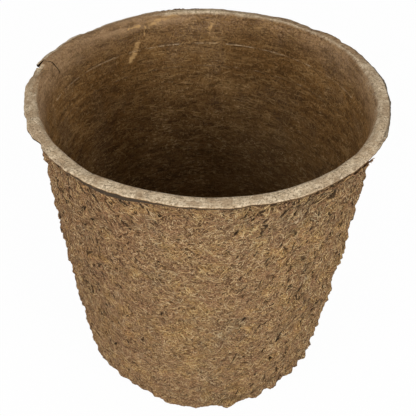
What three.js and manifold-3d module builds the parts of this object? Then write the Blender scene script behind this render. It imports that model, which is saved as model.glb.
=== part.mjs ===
// A round plant pot of moulded fibre pulp, modelled at its real size in millimetres, +Z up.
// The pot is one piece: a shell of felted pulp with a flared, pressed lip, a stacking ledge inside,
// a rounded foot, a raised middle to its floor and drain holes. The origin is the centre of the foot.
import * as THREE from "three";
import { mergeVertices } from "three/addons/utils/BufferGeometryUtils.js";
import Module from "manifold-3d";

const wasm = await Module();
wasm.setup();

// Whole pot
const potHeight = 190;
const lipDiameter = 203;
const wallThickness = 4;
const turnSteps = 80;
const curveSteps = 4;

// Wall, measured on its outer face
const neckDiameter = 189;
const neckHeight = 181.5;
const footDiameter = 150;
const wallBelly = 2.3;
const footRadius = 10;
const wallSpans = 5;

// The felt outside stands out in low lumps: rows of waves that sway as they go round and up the
// wall, so that no two lumps are alike. They are higher on the +X side and fade out at the foot
// and under the lip.
const feltLumps = [
  { count: 18, pitch: 36, height: 0.8, sway: 75, swayCount: 7, swayPitch: 64, turn: 20 },
  { count: 11, pitch: 51, height: 0.6, sway: 60, swayCount: 5, swayPitch: 41, turn: 110 },
];
const coarseSide = 0.35;
const feltFade = 14;

// Lip
const lipWidth = 6.8;
const lipDrop = 0.8;
const lipEdge = 2.3;
const crestRadius = 2.2;
const flareDepth = 9;

// Inside
const ledgeDepth = 20.4;
const ledgeStep = 0.7;
const insideCornerRadius = 9;

// Floor
const floorThickness = 4.5;
const floorRise = 2.5;
const riseDiameter = 66;
const riseSlope = 7;
const drainCount = 4;
const drainDiameter = 11;
const drainCircle = 104;
const drainTurn = 45;

// The pot has dried a little out of true: the foot is pressed in at two places, low waves and a
// sag run round the lip, and a thin ply has lifted beside one split.
const footDents = [
  { angle: 233, width: 30, depth: 2.8 },
  { angle: 315, width: 34, depth: 1.6 },
];
const lipSag = { angle: 130, width: 36, depth: 0.9 };
const lipWaves = [
  { count: 3, height: 0.35, turn: 20 },
  { count: 7, height: 0.25, turn: 75 },
  { count: 13, height: 0.2, turn: 10 },
];
const liftedPly = { from: 148, to: 166, height: 1.9 };
const split = { angle: 168, width: 1.4, depth: 5.5, lean: 28 };
const chips = [
  { angle: 36, width: 3.6, depth: 1.3 },
  { angle: 50, width: 4.4, depth: 1.5 },
];

const lipRadius = lipDiameter / 2;
const crestInside = lipRadius - lipWidth;
const ledgeHeight = potHeight - ledgeDepth;
const pulpBrown = 0x7d6244;

const radians = (degrees) => THREE.MathUtils.degToRad(degrees);

// The outer wall tapers from the neck to the foot and swells a little between them.
function wallRadius(height) {
  const share = (neckHeight - height) / neckHeight;
  const straight = THREE.MathUtils.lerp(neckDiameter, footDiameter, share) / 2;
  return straight + 4 * wallBelly * share * (1 - share);
}

// The middle control point of the quadratic curve that follows the wall between two heights.
function wallControl(high, low, inset) {
  const middle = (high + low) / 2;
  const ends = (wallRadius(high) + wallRadius(low)) / 2;
  return [2 * wallRadius(middle) - ends - inset, middle];
}

// Half of the pot's section, from the underside's centre round the outside to the floor's centre.
function potSection() {
  const section = new THREE.Path();
  const rise = riseDiameter / 2;
  section.moveTo(0, floorRise);
  section.lineTo(rise, floorRise);
  section.bezierCurveTo(rise + riseSlope / 2, floorRise, rise + riseSlope / 2, 0, rise + riseSlope, 0);
  addOuterFace(section);
  addLip(section);
  addInnerFace(section);
  return section.getPoints(curveSteps);
}

// Foot and outer wall, up to the neck under the lip.
function addOuterFace(section) {
  const footHeight = footRadius * 0.92;
  section.lineTo(footDiameter / 2 - footRadius, 0);
  section.quadraticCurveTo(footDiameter / 2, 0, wallRadius(footHeight), footHeight);
  for (let span = 0; span < wallSpans; span += 1) {
    const low = THREE.MathUtils.lerp(footHeight, neckHeight, span / wallSpans);
    const high = THREE.MathUtils.lerp(footHeight, neckHeight, (span + 1) / wallSpans);
    section.quadraticCurveTo(...wallControl(high, low, 0), wallRadius(high), high);
  }
}

// The neck sweeps out under the lip, round its thin edge and over its top to the crest.
function addLip(section) {
  const edgeTop = potHeight - lipDrop;
  const edgeMiddle = edgeTop - lipEdge / 2;
  const edgeBack = lipRadius - lipEdge / 2;
  const neck = neckDiameter / 2;
  const crestOutside = crestInside + crestRadius * 0.5;
  section.quadraticCurveTo(neck + 0.4, edgeTop - lipEdge - 1.2, edgeBack, edgeTop - lipEdge);
  section.quadraticCurveTo(lipRadius, edgeTop - lipEdge, lipRadius, edgeMiddle);
  section.quadraticCurveTo(lipRadius, edgeTop, edgeBack, edgeTop);
  section.quadraticCurveTo(crestOutside + crestRadius, potHeight, crestOutside, potHeight);
}

// Over the crest, down the flare to the stacking ledge, down the inner wall and across the floor.
function addInnerFace(section) {
  const inset = wallThickness;
  const flareHeight = potHeight - flareDepth;
  const upperInset = inset - ledgeStep;
  const cornerHeight = floorThickness + insideCornerRadius;
  const floorEdge = wallRadius(cornerHeight) - inset - insideCornerRadius;
  const rise = riseDiameter / 2;
  section.quadraticCurveTo(
    crestInside - crestRadius * 0.4, potHeight,
    crestInside - crestRadius * 0.7, potHeight - crestRadius,
  );
  section.quadraticCurveTo(
    wallRadius(flareHeight) - upperInset, potHeight - flareDepth * 0.6,
    wallRadius(flareHeight) - upperInset, flareHeight,
  );
  section.lineTo(wallRadius(ledgeHeight) - upperInset, ledgeHeight + ledgeStep);
  section.lineTo(wallRadius(ledgeHeight) - inset, ledgeHeight);
  section.quadraticCurveTo(
    ...wallControl(ledgeHeight, cornerHeight, inset),
    wallRadius(cornerHeight) - inset, cornerHeight,
  );
  section.quadraticCurveTo(wallRadius(floorThickness) - inset, floorThickness, floorEdge, floorThickness);
  section.lineTo(rise + riseSlope, floorThickness);
  section.bezierCurveTo(
    rise + riseSlope / 2, floorThickness, rise + riseSlope / 2, floorThickness + floorRise,
    rise, floorThickness + floorRise,
  );
  section.lineTo(0, floorThickness + floorRise);
}

function angleAt(x, y) {
  return THREE.MathUtils.euclideanModulo(THREE.MathUtils.radToDeg(Math.atan2(y, x)), 360);
}

// A smooth swell round the pot: one at its own angle, nothing beyond its half width.
function swell(angle, place) {
  const share = Math.abs(angle - place.angle) / place.width;
  return share < 1 ? Math.cos((share * Math.PI) / 2) ** 2 : 0;
}

// How far the felt stands out at an angle, in degrees from +X, and a height.
function feltLump(angle, height) {
  const wave = (degrees) => Math.sin(radians(degrees));
  const rowOf = ({ count, sway, swayPitch }) => wave(count * angle + sway * wave((360 * height) / swayPitch));
  const tierOf = ({ pitch, sway, swayCount, turn }) =>
    wave((360 * height) / pitch + sway * wave(swayCount * angle) + turn);
  const lump = feltLumps.reduce((sum, each) => sum + each.height * rowOf(each) * tierOf(each), 0);
  return lump * (1 + coarseSide * Math.cos(radians(angle)));
}

// Raises the lumps on the outer wall. The inner wall stays smooth.
function raiseFelt(geometry) {
  const place = geometry.getAttribute("position");
  for (let i = 0; i < place.count; i += 1) {
    const [x, y, z] = [place.getX(i), place.getY(i), place.getZ(i)];
    const radius = Math.hypot(x, y);
    if (radius > wallRadius(z) - wallThickness / 2) {
      const aboveFoot = THREE.MathUtils.smoothstep(z, footRadius, footRadius + feltFade);
      const belowNeck = 1 - THREE.MathUtils.smoothstep(z, neckHeight - feltFade, neckHeight);
      const grow = 1 + (aboveFoot * belowNeck * feltLump(angleAt(x, y), z)) / radius;
      place.setXY(i, x * grow, y * grow);
    }
  }
}

// How far the lip stands above its true height at an angle, in degrees from +X.
function lipLift(angle) {
  const wave = ({ count, height, turn }) => height * Math.sin(radians(count * angle + turn));
  const waves = lipWaves.reduce((sum, each) => sum + wave(each), -lipSag.depth * swell(angle, lipSag));
  const along = (angle - liftedPly.from) / (liftedPly.to - liftedPly.from);
  const lifted = along > 0 && along <= 1 ? liftedPly.height * along * along : 0;
  return waves + lifted;
}

// Bends the lip to its waves, most at the outer edge and not at all at the neck.
function bendLip(geometry) {
  const place = geometry.getAttribute("position");
  for (let i = 0; i < place.count; i += 1) {
    const [x, y, z] = [place.getX(i), place.getY(i), place.getZ(i)];
    const up = THREE.MathUtils.smoothstep(z, neckHeight, potHeight - crestRadius);
    const out = THREE.MathUtils.smoothstep(Math.hypot(x, y), crestInside - crestRadius, lipRadius);
    place.setZ(i, z + up * (0.4 + 0.6 * out) * lipLift(angleAt(x, y)));
  }
}

// Presses the foot's corner in at its dents. The ring that the pot stands on stays flat.
function dentFoot(geometry) {
  const place = geometry.getAttribute("position");
  const standing = footDiameter / 2 - footRadius;
  for (let i = 0; i < place.count; i += 1) {
    const [x, y, z] = [place.getX(i), place.getY(i), place.getZ(i)];
    const radius = Math.hypot(x, y);
    const low = 1 - THREE.MathUtils.smoothstep(z, footRadius / 2, 4 * footRadius);
    const out = THREE.MathUtils.smoothstep(radius, standing - footRadius, standing);
    const depth = footDents.reduce((sum, dent) => sum + dent.depth * swell(angleAt(x, y), dent), 0);
    const shrink = radius > 0 ? 1 - (low * out * depth) / radius : 1;
    place.setXY(i, x * shrink, y * shrink);
  }
}

function solidFrom(geometry) {
  geometry.deleteAttribute("normal");
  geometry.deleteAttribute("uv");
  const merged = mergeVertices(geometry);
  const vertProperties = new Float32Array(merged.getAttribute("position").array);
  const triVerts = new Uint32Array(merged.index.array);
  return new wasm.Manifold(new wasm.Mesh({ numProp: 3, vertProperties, triVerts }));
}

function geometryFrom(solid) {
  const { numProp, vertProperties, triVerts } = solid.getMesh();
  const geometry = new THREE.BufferGeometry();
  geometry.setAttribute("position", new THREE.BufferAttribute(vertProperties, numProp));
  return geometry.setIndex(new THREE.BufferAttribute(triVerts, 1));
}

function pulpShell() {
  const geometry = new THREE.LatheGeometry(potSection(), turnSteps);
  geometry.rotateX(radians(90));
  raiseFelt(geometry);
  bendLip(geometry);
  dentFoot(geometry);
  return solidFrom(geometry);
}

function drainHole(index) {
  const angle = radians(drainTurn + (360 * index) / drainCount);
  const hole = new THREE.CylinderGeometry(drainDiameter / 2, drainDiameter / 2, 8 * floorThickness, 24);
  hole.rotateX(radians(90));
  hole.translate((Math.cos(angle) * drainCircle) / 2, (Math.sin(angle) * drainCircle) / 2, 0);
  return solidFrom(hole);
}

// A three-sided bite out of the lip's outer edge.
function chip({ angle, width, depth }) {
  const reach = lipRadius + depth;
  const bite = new THREE.Shape([
    new THREE.Vector2(lipRadius - depth, 0),
    new THREE.Vector2(reach, -width),
    new THREE.Vector2(reach, width),
  ]);
  const height = potHeight - neckHeight;
  const geometry = new THREE.ExtrudeGeometry(bite, { depth: height, bevelEnabled: false });
  geometry.translate(0, 0, potHeight - height / 2);
  geometry.rotateZ(radians(angle));
  return solidFrom(geometry);
}

// The slit that ends the lifted ply. It leans, so the ply overhangs it.
function splitSlit() {
  const tall = 4 * lipWidth;
  const slit = new THREE.BoxGeometry(2 * split.depth, split.width, tall);
  slit.rotateX(radians(split.lean));
  slit.translate(lipRadius, 0, potHeight + tall / 2 - lipEdge);
  slit.rotateZ(radians(split.angle));
  return solidFrom(slit);
}

function mouldedPot() {
  const holes = Array.from({ length: drainCount }, (_, index) => drainHole(index));
  const cuts = [...holes, ...chips.map(chip), splitSlit()];
  const shell = cuts.reduce((solid, cut) => solid.subtract(cut), pulpShell());
  const pulp = new THREE.MeshStandardMaterial({ color: pulpBrown, roughness: 0.95, metalness: 0 });
  const mesh = new THREE.Mesh(geometryFrom(shell), pulp);
  mesh.name = "moulded_pot";
  return mesh;
}

const pot = new THREE.Group();
pot.add(mouldedPot());

export default pot;
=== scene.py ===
import math
from types import SimpleNamespace

import bmesh
import bpy
import numpy as np
from mathutils import Matrix, Vector


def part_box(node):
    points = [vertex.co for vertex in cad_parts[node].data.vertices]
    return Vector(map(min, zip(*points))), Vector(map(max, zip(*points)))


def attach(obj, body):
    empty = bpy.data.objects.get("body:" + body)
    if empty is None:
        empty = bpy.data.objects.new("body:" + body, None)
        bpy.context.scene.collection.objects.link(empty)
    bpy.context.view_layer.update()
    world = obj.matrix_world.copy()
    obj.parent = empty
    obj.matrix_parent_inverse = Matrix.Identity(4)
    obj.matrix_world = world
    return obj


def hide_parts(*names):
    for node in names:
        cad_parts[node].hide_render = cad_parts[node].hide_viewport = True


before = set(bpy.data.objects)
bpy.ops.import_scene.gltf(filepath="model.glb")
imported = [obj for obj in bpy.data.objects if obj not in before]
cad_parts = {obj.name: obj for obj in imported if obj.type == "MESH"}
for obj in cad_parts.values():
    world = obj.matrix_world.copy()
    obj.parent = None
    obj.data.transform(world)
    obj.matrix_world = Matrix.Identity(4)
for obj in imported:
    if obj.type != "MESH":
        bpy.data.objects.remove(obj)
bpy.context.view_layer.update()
potLow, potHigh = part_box("moulded_pot")
print("frame loaded, pot", [round(v, 4) for v in potHigh - potLow])

mm = 0.001


def fields(values):  # a dictionary's values by name
    return SimpleNamespace(**values)


# a node tree with short ways to add to it; inputs take sockets or plain values

class Graph:
    def __init__(self, tree):
        self.tree = tree

    def add(self, kind, feeds=None, **settings):
        node = self.tree.nodes.new(kind)
        for key, value in settings.items():
            setattr(node, key, value)
        for key, value in (feeds or {}).items():
            if isinstance(value, bpy.types.NodeSocket):
                self.link(value, node.inputs[key])
            else:
                node.inputs[key].default_value = value
        return node

    def first(self, kind, feeds=None, **settings):
        return self.add(kind, feeds, **settings).outputs[0]

    def link(self, start, end):
        self.tree.links.new(start, end)

    # numbers
    def calc(self, operation, first, second=0.0, third=None):
        feeds = {0: first, 1: second}
        if third is not None:
            feeds[2] = third
        return self.first("ShaderNodeMath", feeds, operation=operation)

    def plus(self, first, second):
        return self.calc("ADD", first, second)

    def minus(self, first, second):
        return self.calc("SUBTRACT", first, second)

    def times(self, level, *others):
        for other in others:
            level = self.calc("MULTIPLY", level, other)
        return level

    def strongest(self, values):
        level = values[0]
        for value in values[1:]:
            level = self.calc("MAXIMUM", level, value)
        return level

    def blend(self, share, first, second):
        return self.first("ShaderNodeMix", {0: share, 2: first, 3: second}, data_type="FLOAT")

    def ease(self, value, low, high, start=0.0, end=1.0):  # smooth step between two levels
        feeds = {"Value": value, "From Min": low, "From Max": high, "To Min": start, "To Max": end}
        return self.first("ShaderNodeMapRange", feeds, interpolation_type="SMOOTHSTEP")

    # puts together spans of named values: each one eased, or scaled by one number, or as it is
    def region(self, at, spans, share=None, operation="MULTIPLY"):
        for spot, *levels in spans:
            step = getattr(at, spot)
            if len(levels) == 1:
                step = self.times(step, levels[0])
            elif levels:
                step = self.ease(step, *levels)
            share = step if share is None else self.calc(operation, share, step)
        return share

    # vectors
    def vector(self, operation, first, second=(0.0, 0.0, 0.0), output=0):
        return self.add("ShaderNodeVectorMath", {0: first, 1: second}, operation=operation).outputs[output]

    def scaled(self, vector, scale):
        return self.first("ShaderNodeVectorMath", {0: vector, "Scale": scale}, operation="SCALE")

    def turned(self, vector, angle):  # about z
        feeds = {"Vector": vector, "Angle": angle}
        return self.first("ShaderNodeVectorRotate", feeds, rotation_type="Z_AXIS")

    def split(self, vector):
        return self.add("ShaderNodeSeparateXYZ", {0: vector}).outputs

    def axes(self, place):  # x, y and z; marks at the same place are added to them
        return fields(dict(zip("xyz", self.split(place))))

    def joined(self, x=0.0, y=0.0, z=0.0):
        return self.first("ShaderNodeCombineXYZ", {0: x, 1: y, 2: z})

    # patterns
    def grain(self, place, size, detail=2.0, rough=0.5, twist=0.0):  # noise with marks of about this size
        scale = self.calc("DIVIDE", 1.0, size) if isinstance(size, bpy.types.NodeSocket) else 1.0 / size
        feeds = {"Vector": place, "Scale": scale, "Detail": detail, "Roughness": rough, "Distortion": twist}
        return self.first("ShaderNodeTexNoise", feeds)

    def drift(self, place, size, reach):  # wanders to and fro
        noise = self.add("ShaderNodeTexNoise", {"Vector": place, "Scale": 1.0 / size, "Detail": 1.0})
        return self.scaled(self.vector("SUBTRACT", noise.outputs["Color"], (0.5, 0.5, 0.5)), reach)

    def warp(self, place, size, reach):  # bends a pattern so that its strands curl
        return self.vector("ADD", place, self.drift(place, size, reach))

    # colours
    def coat(self, colour, share, over):  # lays a colour over another; a tint multiplies it
        kind = "MULTIPLY" if isinstance(over, str) and over.endswith("Tint") else "MIX"
        feeds = {0: share, 6: paint(colour), 7: paint(over)}
        return self.add("ShaderNodeMix", feeds, data_type="RGBA", blend_type=kind).outputs[2]

    def coats(self, colour, at, layers):  # each layer lies where the strongest of its regions is
        for over, *regions in layers:
            share = self.strongest([self.region(at, spans) for spans in regions])
            colour = self.coat(colour, share, over)
        return colour

    def toneRamp(self, tone, stops):
        ramp = self.add("ShaderNodeValToRGB", {0: tone})
        points = ramp.color_ramp.elements
        while len(points) < len(stops):
            points.new(1.0)
        for point, (at, colour) in zip(points, stops):
            point.position, point.color = at, paint(colour)
        return ramp.outputs[0]

    # geometry
    def named(self, label):
        return self.first("GeometryNodeInputNamedAttribute", {"Name": label}, data_type="FLOAT")

    def store(self, geometry, label, value, kind="FLOAT", domain="POINT"):
        feeds = {"Geometry": geometry, "Name": label, "Value": value}
        return self.first("GeometryNodeStoreNamedAttribute", feeds, data_type=kind, domain=domain)

    def picked(self, geometry, value, index, kind="FLOAT"):
        feeds = {"Geometry": geometry, "Value": value, "Index": index}
        return self.first("GeometryNodeSampleIndex", feeds, data_type=kind)

    def moved(self, geometry, **feeds):
        return self.first("GeometryNodeSetPosition", {"Geometry": geometry, **feeds})

    def chance(self, low, high, seed):
        return self.add("FunctionNodeRandomValue", {2: low, 3: high, "Seed": seed}).outputs[1]

    def finish(self, geometry, feed, out):  # smooth, realized and with its material
        geometry = self.first("GeometryNodeSetShadeSmooth", {0: geometry})
        geometry = self.first("GeometryNodeRealizeInstances", {0: geometry})
        feeds = {"Geometry": geometry, "Material": feed["Finish"]}
        self.link(self.first("GeometryNodeSetMaterial", feeds), out.inputs[0])
        return self.tree


def newTree(name, start, values):  # takes a start geometry, a finish and what the values name
    tree = bpy.data.node_groups.new(name, "GeometryNodeTree")
    kinds = {start: "Geometry", "Finish": "Material"}
    kinds.update({label: "Int" if isinstance(value, int) else "Float" for label, value in values.items()})
    for label, kind in kinds.items():
        tree.interface.new_socket(label, in_out="INPUT", socket_type="NodeSocket" + kind)
    tree.interface.new_socket("Made", in_out="OUTPUT", socket_type="NodeSocketGeometry")
    return Graph(tree), tree.nodes.new("NodeGroupInput").outputs, tree.nodes.new("NodeGroupOutput")


def newPiece(name, data):
    piece = bpy.data.objects.new(name, data)
    bpy.context.scene.collection.objects.link(piece)
    return piece


def keepMade(piece):  # what its modifiers make becomes its plain mesh
    depsgraph = bpy.context.evaluated_depsgraph_get()
    source = piece.evaluated_get(depsgraph)
    made = bpy.data.meshes.new_from_object(source, preserve_all_data_layers=True, depsgraph=depsgraph)
    piece.modifiers.clear()
    start, piece.data = piece.data, made
    bpy.data.meshes.remove(start)
    made.name = piece.name


def runTree(piece, tree, values):
    modifier = piece.modifiers.new(tree.name, "NODES")
    modifier.node_group = tree
    for item in tree.interface.items_tree:
        if item.in_out == "INPUT" and item.name in values:
            modifier[item.identifier] = values[item.name]
    keepMade(piece)
    print(piece.name, len(piece.data.polygons), "faces")
    return piece


# the pot's half section, in millimetres as radius and height

potSizes = {
    "height": 190.0, "lipRadius": 101.5, "lipWidth": 6.8, "lipDrop": 0.8, "lipEdge": 2.3, "crest": 2.2,
    "neckRadius": 94.5, "neckHeight": 181.5, "footRadius": 75.0, "belly": 2.3, "footRound": 10.0,
    "wall": 4.0, "flare": 9.0, "ledgeDepth": 20.4, "ledgeStep": 0.7, "ring": 154.0, "ringHalf": 0.7,
    "insideRound": 9.0, "floor": 4.5, "floorRise": 2.5, "riseRadius": 33.0, "riseSlope": 7.0,
    # where the felt ends under the lip and the pressed lip begins, and the hidden backs of the two
    "feltTop": (98.4, 186.3), "lipStart": 95.6, "backCorner": 60.0,
    "feltBack": 2.6, "feltBackFloor": 2.4, "pressedBack": 2.3, "pressedBackFloor": 2.2,
    "feltStep": 1.15, "pressedStep": 1.36,  # between the rows of points that show
}


def wallRadius(height):
    s = fields(potSizes)
    share = (s.neckHeight - height) / s.neckHeight
    straight = s.neckRadius + (s.footRadius - s.neckRadius) * share
    return straight + 4 * s.belly * share * (1 - share)


def runLengths(line):
    return np.concatenate([[0], np.cumsum(np.hypot(*np.diff(line, axis=0).T))])


class HalfSection:  # rows of radius, height, how rough and how pale; each run goes on from the last row
    def __init__(self, radius, height, rough):
        self.rows = np.array([[radius, height, rough, 0.0]])

    def run(self, line, step, rough, pale):  # cut to even steps
        lengths = runLengths(line)
        at = np.linspace(0, lengths[-1], max(1, round(lengths[-1] / step)) + 1)
        share = at / lengths[-1]
        columns = [np.interp(at, lengths, line[:, 0]), np.interp(at, lengths, line[:, 1])]
        columns += [start + (end - start) * share for start, end in (rough, pale)]
        self.rows = np.concatenate([self.rows, np.array(columns).T[1:]])

    def curve(self, points, step, rough=(0, 0), pale=(0, 0)):  # Bezier of any degree
        points = np.array([self.rows[-1, :2], *points], float)
        last = len(points) - 1
        t = np.linspace(0, 1, 65)[:, None]
        line = sum(math.comb(last, i) * t**i * (1 - t) ** (last - i) * p for i, p in enumerate(points))
        self.run(line, step, rough, pale)

    def wall(self, height, inset, step, rough=(0, 0), pale=(0, 0)):
        heights = np.linspace(self.rows[-1, 1], height, 80)
        self.run(np.array([(wallRadius(h) - inset, h) for h in heights]), step, rough, pale)


def feltSection():
    s = fields(potSizes)
    rise, high = s.riseRadius, s.floorRise
    middle, stand = rise + s.riseSlope / 2, rise + s.riseSlope
    foot, turn = s.footRadius - s.footRound, s.footRound * 0.92
    line = HalfSection(0, high, 0.6)
    line.curve([(rise, high)], 3.2, (0.6, 0.6))
    line.curve([(middle, high), (middle, 0), (stand, 0)], 2.2, (0.6, 0.4))
    line.curve([(foot, 0)], 2.6, (0.4, 0.4))
    line.curve([(s.footRadius, 0), (wallRadius(turn), turn)], s.feltStep, (0.4, 1))
    line.wall(s.neckHeight, 0, s.feltStep, (1, 1))
    line.curve([(95.2, 185.4), s.feltTop], 0.95, (1, 0.6))

    # hidden back
    back, low = s.feltBack, s.feltBackFloor
    line.curve([(95.0, 187.4), (wallRadius(184.0) - back, 184.0)], 3, (0.4, 0))
    line.wall(12.0, back, 30)
    line.curve([(wallRadius(12.0) - 7, 2.6), (s.backCorner, low)], 8)
    line.curve([(stand, low)], 12)
    line.curve([(rise, low + high)], 9)
    line.curve([(0, low + high)], 17)
    return line.rows


def pressedSection():
    s = fields(potSizes)
    top, edge, crest, wall, floor = s.height, s.lipRadius, s.crest, s.wall, s.floor
    rise, high = s.riseRadius, s.floorRise
    middle, stand = rise + s.riseSlope / 2, rise + s.riseSlope
    edgeTop, edgeBack = top - s.lipDrop, edge - s.lipEdge / 2
    edgeLow, edgeMid = edgeTop - s.lipEdge, edgeTop - s.lipEdge / 2
    fine = (0.2, 0.2)

    # hidden back
    back, low = s.pressedBack, s.pressedBackFloor
    line = HalfSection(0, low + high, 0)
    line.curve([(rise, low + high)], 17)
    line.curve([(stand, low)], 9)
    line.curve([(s.backCorner, low)], 12)
    line.curve([(wallRadius(12.0) - 7, low), (wallRadius(14.0) - back, 14.0)], 8)
    line.wall(180.0, back, 30)
    line.curve([(93.4, 184.0), (s.lipStart, edgeLow + 0.2)], 3)

    # lip, from its underside over the edge and the crest
    inside, flareLow = edge - s.lipWidth, top - s.flare
    crestOut, crestIn = inside + crest / 2, inside - crest * 0.7
    upper = wall - s.ledgeStep
    flareIn = wallRadius(flareLow) - upper
    # the underside and the lower edge carry negative paleness: painted shade under the lip
    line.curve([(edgeBack, edgeLow)], 0.9, fine, (0, -0.12))
    line.curve([(edge, edgeLow), (edge, edgeMid)], 0.55, (0.3, 0.5), (-0.4, -0.4))
    line.curve([(edge, edgeTop), (edgeBack, edgeTop)], 0.55, (0.5, 0.4), (0.9, 0.9))
    line.curve([(crestOut + crest, top), (crestOut, top)], 0.8, (0.4, 0.25), (0.9, 1.0))
    line.curve([(inside - crest * 0.4, top), (crestIn, top - crest)], 0.7, fine, (1.6, 0.4))
    line.curve([(flareIn, top - s.flare * 0.6), (flareIn, flareLow)], 0.9, fine, (0.4, 0.0))

    # inside wall with its ledge and ring
    ledge, ring, half = top - s.ledgeDepth, s.ring, s.ringHalf
    ledgeTop, above = ledge + s.ledgeStep, wallRadius(ledge) - upper
    line.curve([(above, ledgeTop + 0.8)], s.pressedStep, fine)
    # painted shade in the crease above the ledge, then a painted highlight along the ledge's top, fading
    # just below it
    line.curve([(above, ledgeTop)], 0.4, fine, (-0.1, -0.3))
    line.curve([(wallRadius(ledge) - wall, ledge)], 0.5, fine, (0.40, 0.40))
    line.wall(ledge - 0.6, wall, 0.3, fine, (0.36, 0))
    line.wall(ring + half, wall, s.pressedStep, fine)
    ringLow = (wallRadius(ring - half) - wall, ring - half)
    line.curve([(wallRadius(ring) - wall - 0.6, ring), ringLow], 0.5, fine, (0.3, 0.2))

    # corner and floor
    corner = floor + s.insideRound
    floorEdge = wallRadius(corner) - wall - s.insideRound
    line.wall(corner, wall, s.pressedStep, fine)
    line.curve([(wallRadius(floor) - wall, floor), (floorEdge, floor)], 1.6, fine)
    line.curve([(stand, floor)], 2.6, fine)
    line.curve([(middle, floor), (middle, floor + high), (rise, floor + high)], 2.2, fine)
    line.curve([(0, floor + high)], 3.2, fine)
    return line.rows


def carry(mesh, label, values):
    mesh.attributes.new(label, "FLOAT", "POINT").data.foreach_set("value", values.astype(np.float32))


def sectionMesh(name, rows):  # a chain of edges that carries how rough and how pale each point is
    mesh = bpy.data.meshes.new(name)
    points = [(r * mm, 0, z * mm) for r, z in rows[:, :2]]
    mesh.from_pydata(points, [(i, i + 1) for i in range(len(points) - 1)], [])
    columns = {"rough": rows[:, 2], "pale": rows[:, 3], "run": runLengths(rows[:, :2]) * mm}
    for label, column in columns.items():
        carry(mesh, label, column)
    return mesh


# turns a half section into a closed shell and roughens it
# a span is an axis, from and to in metres, and the share at each end, which is 0 and 1 where left out

feltRadius = 0.087  # metres, for patterns laid round the felt

reliefValues = {
    "cobbleBend": (0.007, 0.005), "cobbleSoft": 0.35, "cobbleRim": (0.05, 0.72, 1, 0),
    "cobbleLevel": 0.7, "clump": (3, 0.6, 0.6),
    "patch": (0.026, 2, 0.6), "patchLevels": (0.36, 0.62, 0.45, 1.15),  # cobbles stand out more in places
    "pitLean": -0.9, "pitLong": 0.42, "pitSize": 0.0034, "pitLevels": (0.66, 0.76), "deepest": -0.002,
    # more pits under the lip and at both sides, and more relief at the right, the far left and the foot
    "morePits": [("z", 0.166, 0.18, 0, 0.06), ("x", -0.02, -0.075, 0, 0.035),
                 ("x", 0, 0.075, 0, 0.06)],
    "uneven": [("x", -0.05, 0.085, 0.8, 1.55), ("x", -0.055, -0.085, 0, 0.95),
               ("z", 0.03, 0.008, 0, 0.5)],
}


def reliefNodes(g, feed, place):  # cobbles, clumps and slanting pits
    v = fields(reliefValues)
    feeds = {"Vector": g.warp(place, *v.cobbleBend), "Scale": g.calc("DIVIDE", 1.0, feed["Cobble Size"]),
             "Smoothness": v.cobbleSoft}
    dome = g.add("ShaderNodeTexVoronoi", feeds, feature="SMOOTH_F1").outputs["Distance"]
    dome = g.minus(g.ease(dome, *v.cobbleRim), v.cobbleLevel)
    clump = g.minus(g.grain(place, feed["Clump Size"], *v.clump), 0.5)
    at = g.axes(place)
    swung = g.times(g.calc("ARCTAN2", at.y, at.x), feltRadius)
    slant = g.turned(g.joined(swung, at.z), v.pitLean)
    slant = g.vector("MULTIPLY", slant, (v.pitLong, 1.0, 1.0))
    pits = g.region(at, v.morePits, g.grain(slant, v.pitSize, 1.0, 0.5, 0.8), "ADD")
    pits = g.ease(pits, *v.pitLevels)
    uneven = g.region(at, v.uneven, operation="ADD")
    patchy = g.ease(g.grain(place, *v.patch), *v.patchLevels)
    height = g.times(dome, g.times(feed["Cobble Height"], patchy))
    height = g.calc("MULTIPLY_ADD", clump, g.times(feed["Clump Height"], 2.0), height)
    height = g.minus(height, g.times(pits, feed["Pit Depth"]))
    rough = g.named("rough")
    return g.calc("MAXIMUM", g.times(height, uneven, rough), v.deepest), g.times(pits, rough)


def turnTree():
    g, feed, out = newTree("turnedShell", "Section", feltValues)
    section = feed["Section"]
    rows = g.add("GeometryNodeAttributeDomainSize", {0: section}, component="MESH").outputs["Point Count"]
    grid = g.add("GeometryNodeMeshGrid", {
        "Size X": 1.0, "Size Y": 1.0, "Vertices X": g.plus(feed["Turns"], 1), "Vertices Y": rows}).outputs
    index = g.first("GeometryNodeInputIndex")
    row = g.calc("MODULO", index, rows)
    column = g.calc("FLOOR", g.calc("DIVIDE", index, rows))
    angle = g.calc("DIVIDE", g.times(column, 2 * math.pi), feed["Turns"])
    place = g.first("GeometryNodeInputPosition")
    geometry = g.moved(grid[0], Position=g.turned(g.picked(section, place, row, "FLOAT_VECTOR"), angle))
    for label in ("rough", "pale"):
        geometry = g.store(geometry, label, g.picked(section, g.named(label), row))

    # lay: metres round and along the surface, flat on the floor, for patterns that follow it
    spread = g.split(grid["UV Map"])
    rowAt = g.calc("ROUND", g.times(spread[1], g.minus(rows, 1)))
    along = g.picked(section, g.named("run"), rowAt)
    onWall = g.joined(g.times(spread[0], 2 * math.pi, feed["Lay Radius"]), along)
    onFloor = g.calc("LESS_THAN", g.split(place)[2], feed["Flat Below"])
    onFloor = g.first("GeometryNodeFieldOnDomain", {0: onFloor}, data_type="FLOAT", domain="FACE")
    lay = g.add("ShaderNodeMix", {0: onFloor, 4: onWall, 5: place}, data_type="VECTOR").outputs[1]
    geometry = g.store(geometry, "lay", lay, "FLOAT2", "CORNER")
    geometry = g.first("GeometryNodeMergeByDistance", {"Geometry": geometry, "Distance": 1e-5})

    # the relief is measured along the normal, and what stands out also sags
    height, pits = reliefNodes(g, feed, place)
    offset = g.scaled(g.first("GeometryNodeInputNormal"), height)
    sag = g.times(g.calc("MAXIMUM", height, 0.0), g.times(feed["Sag"], -1.0))
    offset = g.vector("ADD", offset, g.joined(z=sag))
    for label, value in (("relief", height), ("pit", pits)):
        geometry = g.store(geometry, label, value)
    return g.finish(g.moved(geometry, Offset=offset), feed, out)


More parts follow.
